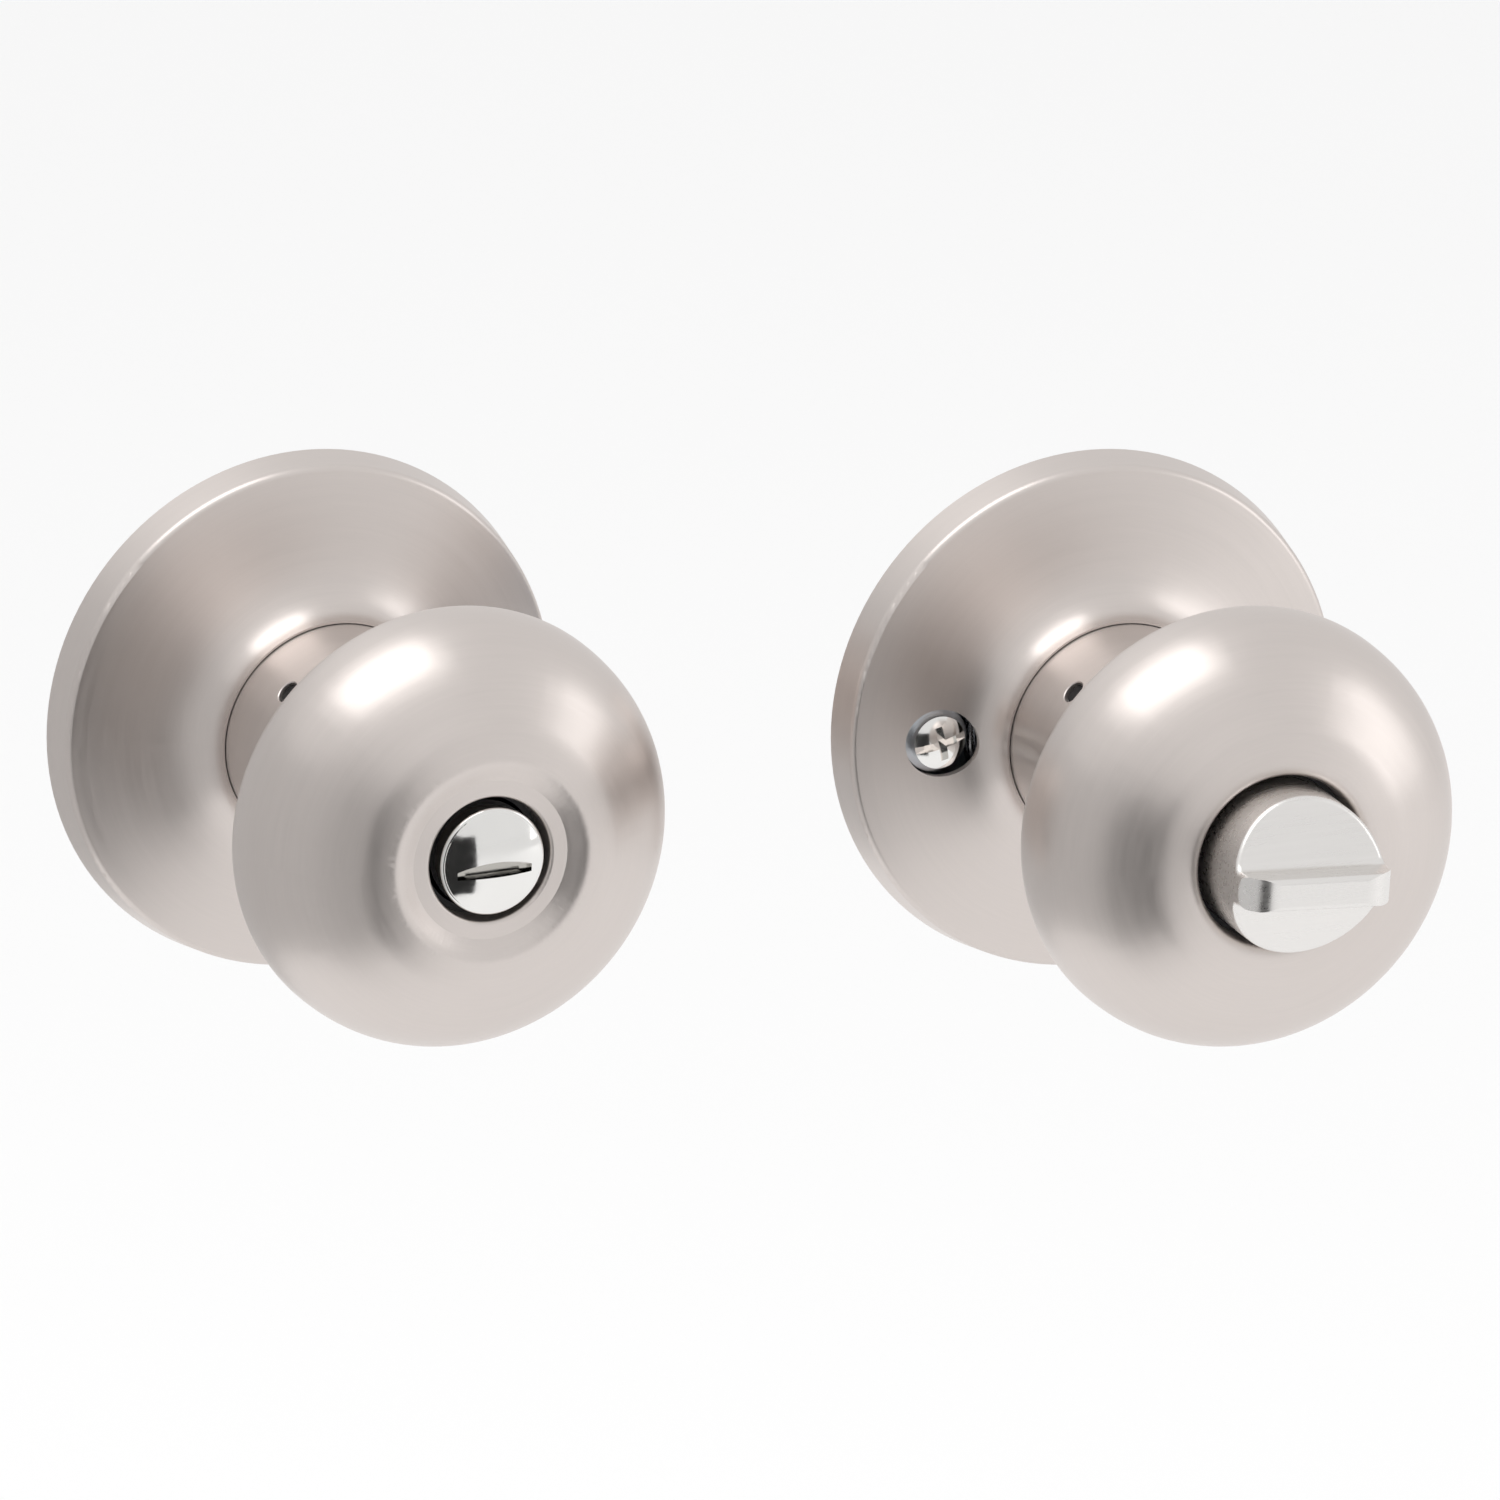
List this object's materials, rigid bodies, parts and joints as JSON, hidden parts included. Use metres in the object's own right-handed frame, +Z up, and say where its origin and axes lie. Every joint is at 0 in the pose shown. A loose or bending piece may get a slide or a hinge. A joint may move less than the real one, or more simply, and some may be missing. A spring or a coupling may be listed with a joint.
{
  "type": "door knob set",
  "caption": "Privacy door knob set in satin nickel: a round knob with an emergency release and a round knob with a thumb turn, each on a trumpet-faced rose.",
  "frame": {"origin": "the outside half's knob axis at its rose's back face, which rests on the door", "axes": "+Z up, -Y out from the door along each knob axis, +X to the right as seen facing the knobs"},
  "size_m": [0.1568, 0.1618, 0.0666],
  "materials": {
    "satin_nickel": "satin nickel plate, finely brushed around the axis",
    "fine_satin_nickel": "bright satin nickel plate on a casting",
    "polished_nickel": "polished nickel plate",
    "bright_screw": "bright nickel plate",
    "zinc_plated_steel": "clear zinc plate",
    "cast_zinc": "as-cast grey zinc alloy",
    "spring_steel": "bright drawn wire",
    "dark_steel": "black oxide",
    "bush_plastic": "natural acetal",
    "black_plastic": "black moulded nylon"
  },
  "bodies": {
    "set_fixed": {"outside_rose": "satin_nickel", "outside_mounting_plate": "zinc_plated_steel", "outside_posts": "zinc_plated_steel", "outside_bearing_bush": "bush_plastic", "outside_return_spring": "spring_steel", "inside_rose": "satin_nickel", "inside_mounting_plate": "zinc_plated_steel", "mounting_screws": "bright_screw", "inside_bearing_bush": "bush_plastic", "inside_return_spring": "spring_steel"},
    "outside_knob": {"outside_knob_front": "satin_nickel", "outside_knob_back": "satin_nickel", "outside_knob_shank": "satin_nickel", "outside_knob_insert": "cast_zinc", "outside_spring_driver": "zinc_plated_steel", "outside_retaining_ring": "spring_steel", "spindle": "zinc_plated_steel", "release_housing": "black_plastic", "outside_catch_spring": "spring_steel"},
    "release": {"release_button": "polished_nickel", "release_clip": "spring_steel", "lock_bar": "zinc_plated_steel"},
    "outside_catch": {"outside_knob_catch": "dark_steel"},
    "inside_knob": {"inside_knob_front": "satin_nickel", "inside_knob_back": "satin_nickel", "inside_knob_shank": "satin_nickel", "inside_knob_insert": "cast_zinc", "inside_spring_driver": "zinc_plated_steel", "inside_retaining_ring": "spring_steel", "spindle_sleeve": "zinc_plated_steel", "thumb_turn_guide": "black_plastic", "detent_spring": "spring_steel", "inside_catch_spring": "spring_steel"},
    "turn": {"thumb_turn": "fine_satin_nickel", "thumb_turn_shaft": "zinc_plated_steel", "thumb_turn_clip": "spring_steel"},
    "inside_catch": {"inside_knob_catch": "dark_steel"}
  },
  "joints": [
    {"name": "outside_knob_turn", "type": "hinge", "parent": "set_fixed", "child": "outside_knob", "pos_m": [0, 0, 0], "axis": [0, -1, 0], "range_deg": [-60, 60], "stiffness_Nm_per_rad": 0.35, "deforming": ["outside_return_spring", "inside_return_spring"]},
    {"name": "inside_knob_turn", "type": "hinge", "parent": "set_fixed", "child": "inside_knob", "pos_m": [0.0901, -0.0375, 0], "axis": [0, -1, 0], "range_deg": [-60, 60], "stiffness_Nm_per_rad": 0.35},
    {"name": "thumb_turn_turn", "type": "hinge", "parent": "inside_knob", "child": "turn", "pos_m": [0.0901, -0.0375, 0], "axis": [0, -1, 0], "range_deg": [-90, 0], "deforming": ["detent_spring"]},
    {"name": "release_turn", "type": "hinge", "parent": "outside_knob", "child": "release", "pos_m": [0, 0, 0], "axis": [0, -1, 0], "range_deg": [0, 90]},
    {"name": "outside_catch_press", "type": "slide", "parent": "outside_knob", "child": "outside_catch", "axis": [0.7071, 0, -0.7071], "range_m": [0, 0.0012], "stiffness_N_per_m": 600, "springref_m": -0.0005, "deforming": ["outside_catch_spring"]},
    {"name": "inside_catch_press", "type": "slide", "parent": "inside_knob", "child": "inside_catch", "axis": [0.7071, 0, -0.7071], "range_m": [0, 0.0012], "stiffness_N_per_m": 600, "springref_m": -0.0005, "deforming": ["inside_catch_spring"]}
  ],
  "couplings": [
    {"joint": "inside_knob_turn", "follows": "outside_knob_turn", "ratio": -1},
    {"joint": "release_turn", "follows": "thumb_turn_turn", "ratio": -1}
  ]
}
